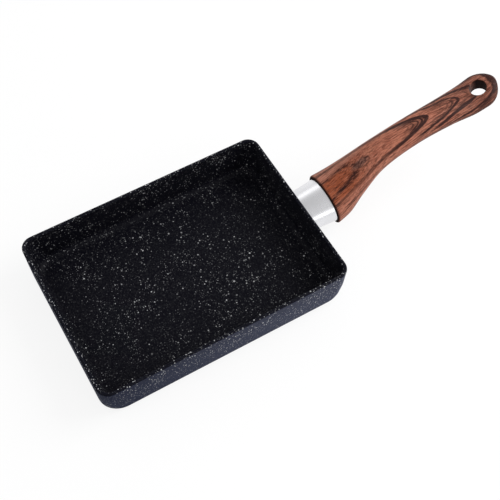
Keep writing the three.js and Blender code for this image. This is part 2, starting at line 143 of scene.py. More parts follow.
class TraySizes(bpy.types.PropertyGroup):
    """Sizes of the coated tray and of the plate in its base"""

    length: size("Rim length", "Outside length at the rim", TRAY_HIGH.x - TRAY_LOW.x)
    width: size("Rim width", "Outside width at the rim", TRAY_HIGH.y - TRAY_LOW.y)
    height: size("Height", "Height of the rim", TRAY_HIGH.z - TRAY_LOW.z)
    wall: size("Wall", "Thickness of the walls", 2.6 * MM)
    floor: size("Floor", "Height of the cooking surface", 3.2 * MM)
    draft: size("Draft", "How far each side of the base lies inside the rim", 1 * MM)
    rim_corner: size("Rim corner", "Corner radius at the rim", 9 * MM)
    base_corner: size("Base corner", "Corner radius at the base", 17.5 * MM)
    low_corner: size("Low corner", "Corner radius a fifth of the way up", 12.6 * MM)
    middle_corner: size("Middle corner", "Corner radius half way up", 9.8 * MM)
    base_edge: size("Base edge", "Radius between the walls and the base", 5 * MM)
    floor_edge: size("Floor edge", "Radius between the walls and the cooking surface", 5 * MM)
    plate_length: size("Plate length", "Length of the base plate", PLATE_HIGH.x - PLATE_LOW.x)
    plate_width: size("Plate width", "Width of the base plate", PLATE_HIGH.y - PLATE_LOW.y)
    plate_thickness: size("Plate thickness", "Thickness of the base plate", PLATE_HIGH.z - PLATE_LOW.z)
    plate_corner: size("Plate corner", "Radius of the plate's corners", 12 * MM)
    plate_edge: size("Plate edge", "Rounding of the plate's edges", 0.15 * MM)
    hole_diameter: size("Hole diameter", "Diameter of the plate's holes", 7 * MM)
    hole_pitch: size("Hole pitch", "Distance between the plate's holes", 18 * MM)
    hole_margin: size("Hole margin", "Least distance from a hole's centre to the plate's edge", 10 * MM)
    clearance: size("Clearance", "Gap between pieces that touch", 0.3 * MM)


class HandleSizes(bpy.types.PropertyGroup):
    """Sizes of the ferrule and the grip, measured along the handle's axis from the face of the collar"""

    height: size("Height", "Where the handle's axis meets the wall", 17.2 * MM)
    tilt: angle("Tilt", "How far the handle's axis rises", 4)
    ferrule_length: size("Ferrule length", "From the wall to the collar", 21.5 * MM)
    ferrule_wall: size("Ferrule wall", "Thickness of the sleeve", 1.2 * MM)
    ferrule_root: section("Ferrule root", "Half width and half height at the wall", 16.6, 10.7)
    ferrule_end: section("Ferrule end", "Half width and half height at the collar", 18.5, 12)
    ferrule_edge: size("Ferrule edge", "Rounding of the sleeve's edges", 0.3 * MM)
    collar: section("Collar", "At the face of the collar", 0, 0, 20.75, 14.25)
    swell: section("Swell", "Where the grip is deepest", 12, 3.5, 18.5, 16.4)
    shoulder: section("Shoulder", "Where the underside turns up", 24, 12, 15.1, 14.7)
    neck: section("Neck", "At the end of the climb", 42, 23.5, 11.7, 11)
    waist: section("Waist", "Where the grip is narrowest", 70, 30.7, 10.8, 8.7)
    palm: section("Palm", "Under the palm", 100, 33.1, 11.6, 7.5)
    flare: section("Flare", "Where the tail widens", 119, 33.3, 13.2, 7.1)
    tail: section("Tail", "Through the hanging hole", 130, 35.6, 13.8, 7.1)
    tail_round: size("Tail round", "Length of the rounded end past the hanging hole", 13.3 * MM)
    collar_edge: size("Collar edge", "Rounding of the collar's front edge", 0.9 * MM)
    spigot: size("Spigot", "Length of the grip inside the ferrule", 6 * MM)
    hole_diameter: size("Hole diameter", "Diameter of the hanging hole", 12.1 * MM)
    hole_mouth: size("Hole mouth", "Rounding of the hanging hole's edges", 1.1 * MM)
    hole_sink: size("Hole sink", "How far the rounding starts below the crown of the tail", 0.25 * MM)
    screw_bore: size("Screw bore", "Diameter of the bore for the handle screw", 5.6 * MM)
    screw_seat: size("Screw seat", "Where the screw's washer bears", 9 * MM)
    counterbore: size("Counterbore", "Diameter of the well over the screw's head", 11 * MM)
    clearance: size("Clearance", "Gap between pieces that touch", 0.3 * MM)
    voxel: size("Voxel", "Size of the facets of the moulded surface", 0.45 * MM)


class FinishColours(bpy.types.PropertyGroup):
    """Colours of the finishes"""

    coat: colour("Coat", "Ground colour of the coat inside", 7, 7, 15)
    coat_outside: colour("Outer coat", "Ground colour of the coat outside", 50, 56, 81)
    coat_speck: colour("Speck", "Colour of the coat's pale specks", 205, 206, 208)
    steel: colour("Ferrule", "Satin metal of the ferrule", 232, 232, 235)
    plate: colour("Plate", "Steel of the base plate", 190, 190, 190)
    zinc: colour("Fasteners", "Plated steel of the fasteners", 196, 198, 200)
    casting: colour("Casting", "Cast metal of the handle's lug", 170, 172, 174)
    wood_light: colour("Light wood", "Pale bands of the wood print", 177, 111, 87)
    wood_pale: colour("Pale wood", "Palest threads of the wood print", 188, 127, 106)
    wood: colour("Wood", "Middle tone of the wood print", 154, 90, 70)
    wood_warm: colour("Warm wood", "Orange tone of the wood print near the collar", 156, 78, 45)
    wood_dark: colour("Dark wood", "Dark bands of the wood print", 48, 25, 22)
    wood_knot: colour("Knot", "Greyed heart of the printed knot", 104, 78, 70)
    # The bare plastic's own colour, also used as painted shade on the tail side of the hanging hole
    moulding: colour("Moulding", "Bare plastic of the grip", 30, 15, 10)


class StageSettings(bpy.types.PropertyGroup):
    """Camera, floor and light"""

    camera_place: position("Camera place", "Where the camera stands", -0.1297, -0.3084, 0.5865)
    azimuth: angle("Azimuth", "Turn of the view about the vertical", -30.55)
    elevation: angle("Elevation", "How far the camera looks down", 58.63)
    roll: angle("Roll", "Turn of the picture about the line of sight", 0.62)
    lens: number("Lens", "Focal length of the camera", 68.5, min=1, unit="CAMERA")
    floor_colour: colour("Floor", "Colour of the floor", 247, 247, 247)
    floor_glow: brightness("Floor glow", "How much of the floor shows as plain white", 0.85)
    card: colour("Card", "What the left of the floor throws back at the pan, as a grey card does", 90, 90, 90)
    sky_low: brightness("Low sky", "Brightness of the surroundings at the horizon", 1.0)
    sky_high: brightness("High sky", "Brightness of the surroundings overhead", 0.6)
    key_power: power("Key", "Power of the main light", 12)
    side_power: power("Side", "Power of the light on the ferrule's near side", 0.3)
    back_power: power("Back", "Power of the light on the ferrule's far side", 0.18)


# Shader maths

class Flow:
    """A value that flows through a finish, so that shader maths reads as plain expressions."""

    def __init__(self, finish, socket):
        self.finish = finish
        self.socket = socket

    def out(self, name):
        """Another output of the same node."""
        return Flow(self.finish, self.socket.node.outputs[name])

    def between(self, low, high):
        """Rises smoothly from 0 at one value to 1 at the other."""
        limits = {"Value": self, "From Min": low, "From Max": high}
        return self.finish.add("ShaderNodeMapRange", limits, interpolation_type="SMOOTHSTEP")

    def at_least(self, other):
        return self.finish.maths("MAXIMUM", self, other)

    def root(self):
        return self.finish.maths("SQRT", self)

    def __add__(self, other):
        return self.finish.maths("ADD", self, other)

    __radd__ = __add__

    def __sub__(self, other):
        return self.finish.maths("SUBTRACT", self, other)

    def __rsub__(self, other):
        return self.finish.maths("SUBTRACT", other, self)

    def __mul__(self, other):
        return self.finish.maths("MULTIPLY", self, other)

    __rmul__ = __mul__

    def __truediv__(self, other):
        return self.finish.maths("DIVIDE", self, other)

    def __rtruediv__(self, other):
        return self.finish.maths("DIVIDE", other, self)

    def __pow__(self, other):
        return self.finish.maths("POWER", self, other)

    def __abs__(self):
        return self.finish.maths("ABSOLUTE", self)


class Finish:
    """The nodes of a material or of the world."""

    def __init__(self, owner):
        owner.use_nodes = True
        self.owner = owner
        self.tree = owner.node_tree
        self.tree.nodes.clear()

    def add(self, kind, sockets=None, out=0, **settings):
        """Adds any node: its settings first, then the values or links of its sockets."""
        node = self.tree.nodes.new(kind)
        for name, value in settings.items():
            setattr(node, name, value)
        for name, value in (sockets or {}).items():
            if isinstance(value, Flow):
                self.tree.links.new(value.socket, node.inputs[name])
            else:
                node.inputs[name].default_value = value
        return Flow(self, node.outputs[out]) if node.outputs else None

    def maths(self, operation, *values):
        return self.add("ShaderNodeMath", dict(enumerate(values)), operation=operation)

    def vectors(self, operation, *values):
        return self.add("ShaderNodeVectorMath", dict(enumerate(values)), operation=operation)

    def mix(self, factor, first, second):
        """Mixes two colours, each a flow or a property's value, by a factor that is kept from 0 to 1."""
        sockets = {0: factor}
        for at, value in ((6, first), (7, second)):
            sockets[at] = value if isinstance(value, Flow) else (*value, 1)
        return self.add("ShaderNodeMix", sockets, out=2, data_type="RGBA")

    def place(self):
        """Where a point lies on its piece."""
        return self.add("ShaderNodeTexCoord", out="Object")

    def split(self, place):
        """The parts of a place: X, with Y and Z as its other outputs."""
        return self.add("ShaderNodeSeparateXYZ", {0: place})

    def attribute(self, name, out):
        """A value that is stored on the piece's points."""
        return self.add("ShaderNodeAttribute", out=out, attribute_name=name)

    def stretched(self, place, scale, turn=(0, 0, 0)):
        """A place turned and then stretched along each axis."""
        sockets = {"Vector": place, "Rotation": turn}
        turned = self.add("ShaderNodeVectorRotate", sockets, rotation_type="EULER_XYZ")
        return self.vectors("MULTIPLY", turned, scale)

    def noise(self, place, grain=1, detail=2, roughness=0.5):
        """Noise with grains of a size."""
        sockets = {"Vector": place, "Scale": 1 / grain, "Detail": detail, "Roughness": roughness}
        return self.add("ShaderNodeTexNoise", sockets)

    def bump(self, height, depth):
        """A normal that follows a height from 0 to 1, as deep as the depth."""
        return self.add("ShaderNodeBump", {"Height": height, "Distance": depth, "Strength": 1})

    def surface(self, **sockets):
        """Closes the material with a shader whose sockets are given with underscores for spaces."""
        named = {name.replace("_", " "): value for name, value in sockets.items()}
        shader = self.add("ShaderNodeBsdfPrincipled", named)
        self.add("ShaderNodeOutputMaterial", {"Surface": shader})
        return self.owner


def new_finish(name):
    """A material that has no nodes yet."""
    return Finish(bpy.data.materials.new(name))


# Speckled coat

Speck = namedtuple("Speck", "cell radius keep strength")
SPECKS = (
    Speck(1.1 * MM, 0.36 * MM, 0.45, 0.5),
    Speck(1.7 * MM, 0.5 * MM, 0.4, 0.9),
    Speck(3.6 * MM, 0.66 * MM, 0.22, 1.0),
)
LEAST_RADIUS = 0.4  # of a speck, as a share of its kind's radius
LEAST_TONE = 0.25  # of a speck, as a share of its kind's strength
SPECK_EDGE = 0.25  # how soft its edge is, as a share of the radius
KEEP_EDGE = 0.01  # how sharply cells with a speck are told from those without
# Painted highlight along the rim: the top of the rim gets extra pale specks and a little of the outer ground,
# on top of the coat's own specks
LIP_START = 1.2 * MM  # below the rim's top, where extra specks start
LIP_FULL = 0.5 * MM
LIP_GROUND = 0.03  # share of the outer ground on top of the rim
OUTSIDE_START = 0.6 * MM  # below the rim's top, where the outer ground starts
OUTSIDE_FADE = 1.2 * MM


def clamp(value):
    """A value kept between 0 and 1."""
    return min(max(value, 0), 1)


def mark_outside(piece, tray):
    """Stores how far each point of the tray faces away from its inside, with a dark lip left at the rim."""
    outside = []
    for vertex in piece.data.vertices:
        away = vertex.normal.xy.dot(vertex.co.xy.normalized())
        faces_out = 1.6 * away - 0.3
        faces_down = -2 * vertex.normal.z
        below_lip = (tray.height - OUTSIDE_START - vertex.co.z) / OUTSIDE_FADE
        outside.append(clamp(min(max(faces_out, faces_down), below_lip)))
    piece.data.attributes.new("outside", "FLOAT", "POINT").data.foreach_set("value", outside)


def speckles(finish, place, speck):
    """How pale the coat is with specks in some cells of a foam, each with its own size and tone."""
    cells = finish.add("ShaderNodeTexVoronoi", {"Vector": place, "Scale": 1 / speck.cell})
    lots = finish.add("ShaderNodeSeparateColor", {"Color": cells.out("Color")})
    reach = speck.radius / speck.cell
    edge = SPECK_EDGE * reach
    radius = reach * (LEAST_RADIUS + (1 - LEAST_RADIUS) * lots)
    inside = (cells - radius).between(edge, -edge)
    kept = lots.out("Green").between(1 - speck.keep, 1 + KEEP_EDGE - speck.keep)
    tone = LEAST_TONE + (1 - LEAST_TONE) * lots.out("Blue")
    return speck.strength * inside * kept * tone


def speckled_coat(colours, tray):
    """Non-stick coat, near black inside and blue-grey outside, with pale specks in loose clusters, and extra
    specks on top of the rim as a painted highlight.
    """
    finish = new_finish("speckled_coat")
    place = finish.place()
    outside = finish.attribute("outside", "Fac")
    height = finish.split(place).out("Z")
    # Top of the rim, where extra specks and a little outer ground paint a highlight
    lip = height.between(tray.height - LIP_START, tray.height - LIP_FULL)
    mottle = finish.noise(place, 0.9 * MM, 3, 0.65)
    tone = finish.mix(outside.at_least(LIP_GROUND * lip), colours.coat, colours.coat_outside)
    tone = finish.mix(mottle.between(0.45, 0.8) * (0.03 + 0.06 * outside), tone, colours.coat_speck)
    tone = finish.mix(mottle.between(0.5, 0.3) * 0.6 * outside, tone, colours.coat)

    waver = finish.vectors("MULTIPLY", finish.noise(place, 0.5 * MM).out("Color"), (0.45 * MM,) * 3)
    wavering = finish.vectors("ADD", place, waver)
    clusters = finish.noise(place, 14 * MM).between(0.38, 0.6)
    paleness = 0.15 + 1.1 * outside + 0.6 * clusters + 0.9 * lip
    for speck in SPECKS:
        tone = finish.mix(speckles(finish, wavering, speck) * paleness, tone, colours.coat_speck)
    peel = finish.noise(place, 0.45 * MM)
    return finish.surface(
        Base_Color=tone,
        Roughness=0.4 + 0.14 * mottle,
        Specular_IOR_Level=0.05,
        Normal=finish.bump(peel, 0.02 * MM),
    )


# Metals

TURNING_MARKS = (1400, 40, 40)  # marks per metre along each axis
BRUSHING_MARKS = (60, 2600, 60)


def satin_metal(colours, handle):
    """Polished sleeve with faint turning marks round the handle's axis."""
    finish = new_finish("satin_ferrule")
    marks = finish.stretched(finish.place(), TURNING_MARKS, (0, handle.tilt, 0))
    turned = finish.noise(marks, 1, 3, 0.6)
    cloud = finish.noise(finish.place(), 7 * MM, 3)
    tone = finish.mix(cloud.between(0.3, 0.7) * 0.12, colours.steel, colours.plate)
    return finish.surface(Base_Color=tone, Metallic=1, Roughness=0.21 + 0.08 * turned + 0.06 * cloud)


def brushed_plate(colours):
    """Base plate with straight brushing and a little heat tint."""
    finish = new_finish("brushed_plate")
    lines = finish.noise(finish.stretched(finish.place(), BRUSHING_MARKS), 1, 3, 0.65)
    cloud = finish.noise(finish.place(), 22 * MM, 3)
    tone = finish.mix(cloud.between(0.35, 0.75) * 0.3, colours.plate, colours.wood_knot)
    tone = finish.mix(lines.between(0.35, 0.65) * 0.2, tone, colours.coat)
    return finish.surface(
        Base_Color=tone,
        Metallic=1,
        Roughness=0.3 + 0.16 * lines,
        Normal=finish.bump(lines, 0.01 * MM),
    )


def plated_steel(colours):
    """Zinc-plated fasteners."""
    finish = new_finish("plated_steel")
    grain = finish.noise(finish.place(), 0.6 * MM, 3, 0.6)
    tone = finish.mix(grain.between(0.3, 0.8) * 0.35, colours.zinc, colours.casting)
    return finish.surface(Base_Color=tone, Metallic=1, Roughness=0.26 + 0.2 * grain)


def cast_metal(colours):
    """Sand-cast lug."""
    finish = new_finish("cast_metal")
    grain = finish.noise(finish.place(), 0.5 * MM, 4, 0.65)
    tone = finish.mix(grain.between(0.3, 0.75) * 0.4, colours.casting, colours.coat)
    return finish.surface(
        Base_Color=tone,
        Metallic=1,
        Roughness=0.45 + 0.25 * grain,
        Normal=finish.bump(grain, 0.06 * MM),
    )


# Wood print, in millimetres along the grip and round its girth, from the top to the right-hand side

# Where an arch's tip lies, how wide and how dark its band is, and where its arms fade out
Arch = namedtuple("Arch", "tip width depth fade")
ARCHES = (
    Arch(68.5, 1.9, 0.6, 58),
    Arch(72.5, 2.0, 0.75, 60),
    Arch(76.5, 2.1, 0.85, 60),
    Arch(80.6, 2.3, 0.95, 46),
    Arch(85.5, 18, 0.45, 58),
    Arch(85.8, 4.6, 1.0, -10),
    Arch(98, 2.0, 0.4, 84),
    Arch(103, 2.0, 0.65, 88),
    Arch(107.5, 2.2, 0.8, 80),
    Arch(112.6, 3.0, 1.0, 66),
    Arch(112.3, 14, 0.32, 90),
    Arch(121, 2.0, 0.7, 100),
    Arch(127, 2.2, 0.8, 96),
    Arch(131, 13, 0.5, 104),
    Arch(133, 3.8, 1.0, 78),
    Arch(152, 1.8, 0.6, 70),
    Arch(168, 2.6, 0.9, 62),
    Arch(186, 2.0, 0.7, 50),
    Arch(207, 3.0, 0.8, 30),
)
TAIL_ARCH = Arch(141.4, 5.5, 1.0, 112)
ARCH_EDGE = 0.8
ARCH_FADE = 12


def wood_print(colours):
    """Printed wood figure: nested arches along the top, a knot by the collar and fine pores."""
    finish = new_finish("wood_print")
    mix = finish.mix
    rod = finish.attribute("rod", "Vector")

    def grain(lengthways, crossways, turn=0, detail=2, roughness=0.5):
        """A noise with so many waves per metre each way, and a turn that sets it apart from the others."""
        place = finish.stretched(rod, (lengthways, crossways, crossways), (turn, 0, 0))
        return finish.noise(place, 1, detail, roughness)

    # Places on the print, which waver a little
    axes = finish.split(rod)
    across = axes.out("Y")
    up = axes.out("Z")
    shiver = grain(260, 700, 0, 3, 0.65) - 0.5
    girth = finish.maths("ARCTAN2", 0 - across, up) * (across ** 2 + up ** 2).root() / MM
    along = axes / MM + 5 * (grain(35, 90) - 0.5) + 1.6 * shiver
    side = girth + 2.6 * (grain(30, 110, 0.4) - 0.5) + 0.4 * shiver

    def lines(crossways, lengthways, detail, roughness):
        """A noise across and along a run of lines."""
        place = finish.add("ShaderNodeCombineXYZ", {0: crossways, 1: lengthways})
        return finish.noise(place, 1, detail, roughness)

    def arms(arch):
        """Fades an arch out along its arms."""
        return along.between(arch.fade, arch.fade + ARCH_FADE)

    def band(outward, arch):
        """How dark an arch is, with a band that ends sharply outside and softly inside."""
        inside = outward.between(-1.15 * arch.width, -0.7 * arch.width)
        outside = outward.between(0.5 * ARCH_EDGE, -0.5 * ARCH_EDGE)
        return arch.depth * inside * outside * arms(arch)

    def oval(beyond, half_length, beside, half_width):
        """The square of how far a place lies from the middle of an oval, where 1 is its edge."""
        return (beyond / half_length) ** 2 + (beside / half_width) ** 2

    def streak(path, half_width, core, fade):
        """A streak with a dark core that follows a path round the girth and fades out along the grip."""
        return abs((side - path) / half_width).between(1, core) * along.between(*fade)

    # Each ring is a parabola about a line that shifts to the left on the way to the tail
    apart = (side - (1.2 - 1.6 * along.between(88, 108))) ** 2
    bend = 0.34 - 0.06 * along.between(95, 125)
    ring = along + bend * apart
    flanks = ring.between(82, 96)
    curl = grain(260, 560, 1.7, 4, 0.7)
    fibre = grain(120, 1300, 0, 4, 0.75)
    fine = grain(50, 2300, 2.3, 2, 0.6)
    dashes = grain(170, 1500, 0.7, 3, 0.7)
    threads = lines(0.85 * (abs(side - 2) + 0.12 * along), 0.012 * along, 4, 0.7)

    # Ground tones
    tone = mix(grain(60, 220, 0, 3, 0.6).between(0.36, 0.66), colours.wood, colours.wood_light)
    tone = mix(0.3 * curl.between(0.5, 0.38), tone, colours.wood_pale)
    tone = mix(0.28 * curl.between(0.52, 0.66), tone, colours.wood_dark)
    warm = along.between(34, 14) * side.between(-5, -2.5) * side.between(17, 12)
    tone = mix(0.85 * warm, tone, colours.wood_warm)
    pale = (along.between(44, 22) * side.between(-4.5, -7)).at_least(flanks * threads.between(0.5, 0.38))
    tone = mix(0.7 * pale, tone, colours.wood_pale)
    knot = oval(along - 27.5, 7, side - 2.6, 3.3).between(1.3, 0.2)
    smudge = oval(along - 67, 9, side + 13 - 0.14 * along, 2.2).between(1.2, 0.1)
    tone = mix((0.8 * knot).at_least(0.7 * smudge), tone, colours.wood_knot)

    # Dark arches
    steep = (1 + 4 * bend ** 2 * apart).root()
    ragged = 1.8 * (fibre + curl - 1)
    broken = grain(40, 90, 1.1, 3, 0.6).between(0.36, 0.6)
    strength = (0.95 + 0.25 * broken) * (0.65 + 0.35 * along.between(36, 74))
    dark = 0.36 * along.between(97, 112)
    for arch in ARCHES:
        outward = (ring - arch.tip) / (0.4 + 0.6 * steep) + ragged
        dark = dark.at_least(band(outward, arch) * strength)

    # The wide arch round the hanging hole, and the tail's end past it, made dark with faint lines
    tail = along + 0.0005 * apart ** 2
    past = 0.5 + 0.45 * lines(0.9 * tail, 0.06 * side, 3, 0.6).between(0.42, 0.56)
    past = past * tail.between(TAIL_ARCH.tip - 1, TAIL_ARCH.tip) * arms(TAIL_ARCH)
    dark = dark.at_least(band(tail - TAIL_ARCH.tip, TAIL_ARCH)).at_least(past)

    # Streaks by the collar, the rings of the knot's eye and the threads of the flanks
    over_knot = streak(8.6 * along.between(16, 31) - 4.3, 2 + 1.4 * along.between(12, 26), 0.2, (31, 25))
    under_knot = streak(10.7 - 0.19 * along, 1.3 + 0.16 * along, 0.15, (29, 20))
    by_edge = streak(0.0018 * along ** 2 - 10.6, 1.3, 0, (56, 44)) * along.between(4, 30)
    from_eye = oval(along - 29.6, 4.6, side - 3.6, 3.1).root()
    eye = abs(finish.maths("FRACT", 1.6 * from_eye) - 0.5).between(0.3, 0.1) * from_eye.between(1.35, 1)
    streaks = (0.85 * over_knot.at_least(by_edge).at_least(eye)).at_least(1.2 * under_knot)
    dark = dark.at_least(streaks * (0.4 + 0.6 * fibre.between(0.36, 0.58)))
    dark = dark.at_least((0.12 + 0.6 * flanks) * threads.between(0.48, 0.58))

    # Fibres and pores over the figure, bare plastic on the collar's face and in the bores, and painted shade
    # on the tail side of the hanging hole
    figure = mix(dark, tone, colours.wood_dark)
    layers = (
        ((0.5 - 0.35 * dark) * (1 - 0.6 * warm) * fibre.between(0.48, 0.34), colours.wood_pale),
        (0.65 * fibre.between(0.5, 0.64), colours.wood_dark),
        ((0.4 - 0.35 * dark) * fine.between(0.46, 0.36), colours.wood_pale),
        (0.35 * fine.between(0.54, 0.64), colours.wood_dark),
        ((0.6 + 0.2 * warm) * dashes.between(0.54, 0.61), colours.wood_dark),
    )
    for share, shade in layers:
        figure = mix(share, figure, shade)
    bare = finish.attribute("bare", "Fac")
    return finish.surface(
        Base_Color=mix(bare, figure, colours.moulding),
        Roughness=0.42 + 0.1 * fibre + 0.4 * bare,
        Specular_IOR_Level=0.1,
        Normal=finish.bump(fibre, 0.012 * MM),
    )


# Modelling

def begin(name, add_primitive, **settings):
    """Starts a piece from a primitive and opens it in edit mode."""
    bpy.ops.object.select_all(action="DESELECT")
    add_primitive(**settings)
    bpy.ops.object.transform_apply()
    piece = bpy.context.object
    piece.name = piece.data.name = name
    bpy.ops.object.mode_set(mode="EDIT")
    return piece


def begin_empty(name):
    """Starts a piece with nothing in its mesh."""
    piece = begin(name, bpy.ops.mesh.primitive_plane_add)
    bpy.ops.mesh.delete(type="VERT")
    return piece


def choose(piece):
    """Selects one piece and nothing else."""
    bpy.ops.object.select_all(action="DESELECT")
    piece.select_set(True)
    bpy.context.view_layer.objects.active = piece


def round_corners(radius, steps, profile=0.5):
    """Rounds the corners of the selected flat face."""
    kind = {"offset_type": "ABSOLUTE", "affect": "VERTICES", "clamp_overlap": False}
    bpy.ops.mesh.bevel(offset=radius, segments=steps, profile=profile, **kind)
    bpy.ops.mesh.select_linked()
    bpy.ops.mesh.remove_doubles(threshold=WELD)


def outline(piece, label, length, width, corner, height):
    """Adds a flat rectangle with round corners to the piece, and remembers its edge under a label."""
    bpy.ops.mesh.select_all(action="DESELECT")
    bpy.ops.mesh.primitive_plane_add(size=1, location=(0, 0, height))
    bpy.ops.transform.resize(value=(length, width, 1), center_override=(0, 0, height))
    round_corners(corner, CORNER_STEPS)
    remember(piece, label)


def remember(piece, label):
    """Keeps the selected vertices as a group."""
    bpy.ops.object.vertex_group_assign_new()
    piece.vertex_groups.active.name = label


def recall(*labels):
    """Selects the remembered groups, and nothing else."""
    bpy.ops.mesh.select_mode(type="VERT")
    bpy.ops.mesh.select_all(action="DESELECT")
    for label in labels:
        bpy.ops.object.vertex_group_set_active(group=label)
        bpy.ops.object.vertex_group_select()


def close_up(piece):
    """Merges doubles, turns every face outwards and leaves edit mode."""
    bpy.ops.mesh.select_mode(type="VERT")
    bpy.ops.mesh.select_all(action="SELECT")
    bpy.ops.mesh.remove_doubles(threshold=WELD)
    bpy.ops.mesh.normals_make_consistent(inside=False)
    bpy.ops.object.mode_set(mode="OBJECT")
    piece.vertex_groups.clear()


def round_edges(piece, **radii):
    """Rounds each remembered loop of edges to its own radius, and closes the piece up."""
    largest = max(radii.values())
    for label, radius in radii.items():
        recall(label)
        bpy.ops.transform.edge_bevelweight(value=radius / largest)
    close_up(piece)
    modify(
        piece, "BEVEL", limit_method="WEIGHT", width=largest, segments=FILLET_STEPS, use_clamp_overlap=False
    )


def modify(piece, kind, **settings):
    """Adds a modifier to the active piece and applies it."""
    bpy.context.view_layer.objects.active = piece
    bpy.ops.object.modifier_add(type=kind)
    modifier = piece.modifiers[-1]
    for name, value in settings.items():
        setattr(modifier, name, value)
    bpy.ops.object.modifier_apply(modifier=modifier.name)


def cut(piece, cutter):
    """Takes a cutter out of a piece, and removes the cutter."""
    piece.select_set(True)
    modify(piece, "BOOLEAN", operation="DIFFERENCE", object=cutter, solver="EXACT")
    bpy.data.objects.remove(cutter)


def rod_cutter(diameter, start, end):
    """A round bar along X between two places."""
    sizes = {"vertices": HOLE_STEPS, "radius": diameter / 2, "depth": end - start}
    centre = ((start + end) / 2, 0, 0)
    cutter = begin("cutter", bpy.ops.mesh.primitive_cylinder_add, location=centre, rotation=FACE_X, **sizes)
    bpy.ops.object.mode_set(mode="OBJECT")
    return cutter


def smooth(piece):
    """Shades a piece smoothly, with flat faces kept flat."""
    choose(piece)
    bpy.ops.object.shade_smooth()
    modify(piece, "WEIGHTED_NORMAL", keep_sharp=False)


def hand_over(piece, material, slot, *nodes):
    """Finishes a piece that stands for CAD nodes."""
    piece.data.materials.append(material)
    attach(piece, BODY)
    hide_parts(*nodes)


def handle_place(tray, handle):
    """The handle's frame: its origin is the centre of the collar's face and +X runs to the tail."""
    lip = tray.height - tray.wall / 2
    wall = tray.length / 2 - tray.draft * (1 - handle.height / lip)
    reach = Vector((math.cos(handle.tilt), 0, math.sin(handle.tilt))) * handle.ferrule_length
    origin = Vector((wall, 0, handle.height)) + reach
    return Matrix.Translation(origin) @ Matrix.Rotation(-handle.tilt, 4, "Y")


def put_on_handle(piece, place):
    """Moves a piece that was modelled on the handle's axis to its place on the pan."""
    choose(piece)
    piece.matrix_world = place
    bpy.ops.object.transform_apply()


# Grip

Section = namedtuple("Section", "along rise half_width half_height")
STATIONS = ("collar", "swell", "shoulder", "neck", "waist", "palm", "flare", "tail")
SECTION_PROFILE = 0.525  # a bevel profile a little squarer than a circle
TAIL_PLAN_POWER = 2  # how square the tail's end is from above and from the side, where 2 is an ellipse
TAIL_SIDE_POWER = 5
TAIL_TIP = 0.995  # where the last ring of the tail closes
HOLE_OVERSHOOT = 3  # how far the hole's cutter reaches, in half heights of the tail
SMOOTHING = 0.5
SMOOTHING_ROUNDS = 8
# In the hanging hole the bare plastic's colour is painted shade, on the tail side only
BARE_START = 0.05 * MM  # outside a bore, where its bare plastic starts to give way to the print
BARE_FADE = 0.35 * MM
BARE_FRONT = 0.7 * MM  # how far the collar's bare face reaches along the grip


class GripCurve:
    """Smooth curves through the grip's sections."""

    def __init__(self, handle):
        self.stations = [Section(*getattr(handle, name)) for name in STATIONS]
        self.last = self.stations[-1]
        self.tail_round = handle.tail_round

    def slope(self, at, measure):
        """How fast a measure changes at a station."""
        before = self.stations[max(at - 1, 0)]
        after = self.stations[min(at + 1, len(self.stations) - 1)]
        return (getattr(after, measure) - getattr(before, measure)) / (after.along - before.along)

    def value(self, along, measure):
        """A measure at a place between two stations."""
        at = 0
        while at < len(self.stations) - 2 and along > self.stations[at + 1].along:
            at += 1
        first, second = self.stations[at : at + 2]
        span = second.along - first.along
        t = (along - first.along) / span
        ease = t * t * (3 - 2 * t)
        ends = getattr(first, measure) * (1 - ease) + getattr(second, measure) * ease
        leave = t * (1 - t) ** 2 * span * self.slope(at, measure)
        arrive = t * t * (1 - t) * span * self.slope(at + 1, measure)
        return ends + leave - arrive

    def section(self, along):
        """The section at a place, with the round tail drawn in past the last station."""
        if along <= self.last.along:
            return Section(along, *(self.value(along, measure) for measure in Section._fields[1:]))
        past = min((along - self.last.along) / self.tail_round, 1)
        rise = self.last.rise + (along - self.last.along) * self.slope(len(self.stations) - 1, "rise")
        narrowed = self.last.half_width * (1 - past**TAIL_PLAN_POWER) ** (1 / TAIL_PLAN_POWER)
        lowered = self.last.half_height * (1 - past**TAIL_SIDE_POWER) ** (1 / TAIL_SIDE_POWER)
        return Section(along, rise, narrowed, lowered)

    def hole_tilt(self):
        """The hanging hole is square to the grip's chord."""
        return math.atan2(self.last.rise, self.last.along)


def quarter_round(radius):
    """How far a rounded edge has run and how far in it still lies, at each of its steps."""
    turns = [math.pi / 2 * step / FILLET_STEPS for step in range(FILLET_STEPS + 1)]
    return [(radius * (1 - math.cos(turn)), radius * (1 - math.sin(turn))) for turn in turns]


def grip_rings(handle, curve):
    """Sections from the spigot's end to the tip of the tail."""
    inside = handle.ferrule_wall + handle.clearance
    slim = [half - inside for half in handle.ferrule_end]
    rings = [Section(-handle.spigot, 0, *slim), Section(0, 0, *slim)]
    edge = handle.collar_edge
    for run, inset in quarter_round(edge):
        ring = curve.section(run)
        rings.append(ring._replace(half_width=ring.half_width - inset, half_height=ring.half_height - inset))
    span = curve.last.along - edge
    count = math.ceil(span / GRIP_RING_STEP)
    rings += [curve.section(edge + span * step / count) for step in range(1, count + 1)]
    for step in range(1, TAIL_STEPS + 1):
        past = TAIL_TIP * math.sin(math.pi / 2 * step / TAIL_STEPS)
        rings.append(curve.section(curve.last.along + past * curve.tail_round))
    return rings


def extend(before, after):
    """Draws the selection out from one section to the next."""
    move = (after.along - before.along, 0, after.rise - before.rise)
    bpy.ops.mesh.extrude_region_move(TRANSFORM_OT_translate={"value": move})
    ratio = (1, after.half_width / before.half_width, after.half_height / before.half_height)
    bpy.ops.transform.resize(value=ratio, center_override=(after.along, 0, after.rise))


